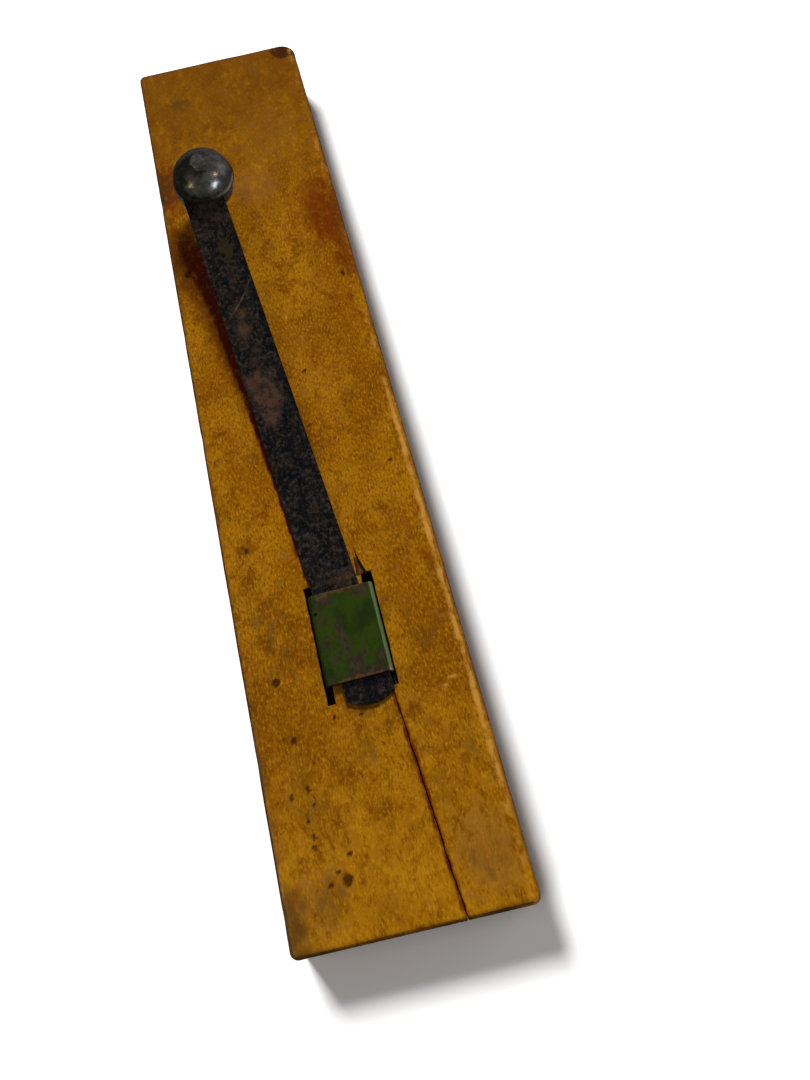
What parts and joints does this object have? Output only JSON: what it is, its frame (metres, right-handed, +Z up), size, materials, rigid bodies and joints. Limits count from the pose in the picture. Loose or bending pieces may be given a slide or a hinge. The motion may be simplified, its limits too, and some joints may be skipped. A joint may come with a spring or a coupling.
{
  "type": "flicked reed metronome",
  "caption": "Wooden sounding bar with a skewed spring-steel reed held in a folded green clip, whose domed striker is flicked to beat on the wood.",
  "frame": {"origin": "middle of the bar's flat underside", "axes": "+X across the bar, +Y along the bar towards the striker, +Z up out of the struck face"},
  "size_m": [0.05, 0.2599, 0.0324],
  "materials": {
    "wood": "worn amber varnish over fine-flecked hardwood, stained and scratched",
    "clip_paint": "green enamel worn to brown rust along the middle and edges",
    "reed_steel": "blued spring steel, mottled with rust",
    "striker_metal": "dark, dented and polished by handling",
    "rivet_steel": "peened and scratched"
  },
  "bodies": {
    "bar": {"sounding_bar": "wood"},
    "clip": {"reed_clip": "clip_paint"},
    "reed": {"reed_strip": "reed_steel"},
    "striker": {"striker_dome": "striker_metal", "striker_base": "striker_metal", "striker_rivet": "rivet_steel"}
  },
  "joints": [
    {"name": "clip_slide", "type": "slide", "parent": "bar", "child": "clip", "axis": [0, 1, 0], "range_m": [-0.0027, 0.0025]},
    {"name": "reed_slide", "type": "slide", "parent": "clip", "child": "reed", "axis": [-0.0906, 0.9959, 0], "range_m": [-0.018, 0.006]},
    {"name": "reed_flex", "type": "hinge", "parent": "reed", "child": "striker", "pos_m": [-0.00217, -0.03798, 0.01562], "axis": [0.9959, 0.0906, 0], "range_deg": [-2.2, 20], "stiffness_Nm_per_rad": 0.54, "springref_deg": 1.49, "deforming": ["reed_strip"]}
  ]
}
